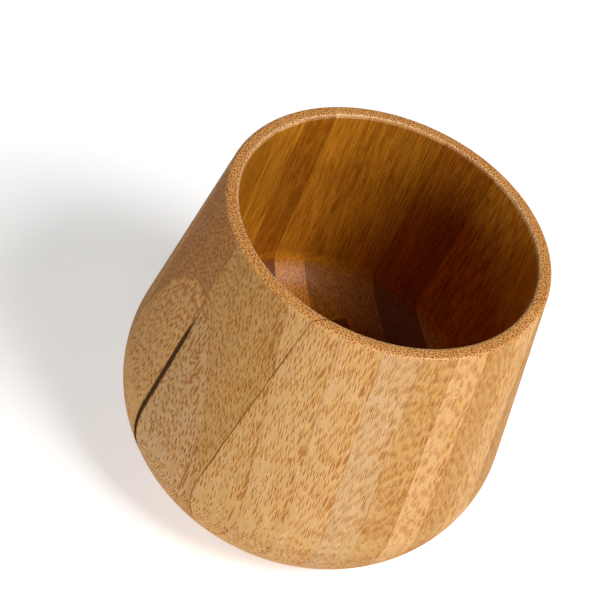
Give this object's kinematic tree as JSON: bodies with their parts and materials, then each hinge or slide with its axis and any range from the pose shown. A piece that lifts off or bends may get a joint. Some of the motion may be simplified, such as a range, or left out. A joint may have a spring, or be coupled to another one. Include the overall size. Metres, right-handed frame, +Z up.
{
  "type": "bamboo cup",
  "caption": "Handleless turned cup with a leaning wall, a rounded bottom and a flat foot, made of upright bamboo strips glued side by side and in layers.",
  "frame": {"origin": "centre of the flat foot, at table height, on the cup's axis", "axes": "+Z up along the cup's axis to the mouth; layers of strips are stacked along X; the strips of a layer stand side by side along Y; the open joint with dark filler is at -X"},
  "size_m": [0.0846, 0.0846, 0.0728],
  "materials": {
    "bamboo_pale": "clear satin lacquer over pale bamboo, short dark fibre dashes",
    "bamboo_honey": "clear satin lacquer over honey bamboo, short dark fibre dashes",
    "bamboo_amber": "clear satin lacquer over amber bamboo, short dark fibre dashes",
    "bamboo_brown": "clear satin lacquer over brown steamed bamboo, dense dark fibre dashes",
    "joint_filler": "dark brown resin glue under the same clear lacquer"
  },
  "bodies": {
    "root": {"layer_1_strip_1": "bamboo_pale", "layer_1_strip_2": "bamboo_honey", "layer_2_strip_1": "bamboo_honey", "layer_2_strip_2": "bamboo_amber", "layer_2_strip_3": "bamboo_brown", "layer_2_strip_4": "bamboo_amber", "layer_3_strip_1": "bamboo_honey", "layer_3_strip_2": "bamboo_honey", "layer_3_strip_3": "bamboo_amber", "layer_3_strip_4": "bamboo_amber", "layer_4_strip_1": "bamboo_honey", "layer_4_strip_2": "bamboo_amber", "layer_4_strip_3": "bamboo_honey", "layer_4_strip_4": "bamboo_amber", "layer_5_strip_1": "bamboo_pale", "layer_5_strip_2": "bamboo_honey", "layer_5_strip_3": "bamboo_amber", "layer_5_strip_4": "bamboo_honey", "layer_5_strip_5": "bamboo_amber", "layer_6_strip_1": "bamboo_amber", "layer_6_strip_2": "bamboo_amber", "layer_6_strip_3": "bamboo_honey", "layer_6_strip_4": "bamboo_brown", "layer_6_strip_5": "bamboo_amber", "layer_7_strip_1": "bamboo_honey", "layer_7_strip_2": "bamboo_honey", "layer_7_strip_3": "bamboo_honey", "layer_7_strip_4": "bamboo_honey", "layer_7_strip_5": "bamboo_honey", "layer_8_strip_1": "bamboo_amber", "layer_8_strip_2": "bamboo_brown", "layer_8_strip_3": "bamboo_brown", "layer_8_strip_4": "bamboo_amber", "layer_8_strip_5": "bamboo_brown", "layer_9_strip_1": "bamboo_honey", "layer_9_strip_2": "bamboo_amber", "layer_9_strip_3": "bamboo_amber", "layer_9_strip_4": "bamboo_amber", "layer_10_strip_1": "bamboo_amber", "layer_10_strip_2": "bamboo_brown", "layer_10_strip_3": "bamboo_brown", "layer_10_strip_4": "bamboo_brown", "layer_11_strip_1": "bamboo_honey", "layer_11_strip_2": "bamboo_amber", "layer_11_strip_3": "bamboo_pale", "layer_11_strip_4": "bamboo_amber", "layer_12_strip_1": "bamboo_honey", "layer_12_strip_2": "bamboo_amber", "front_joint_filler": "joint_filler"}
  },
  "joints": []
}
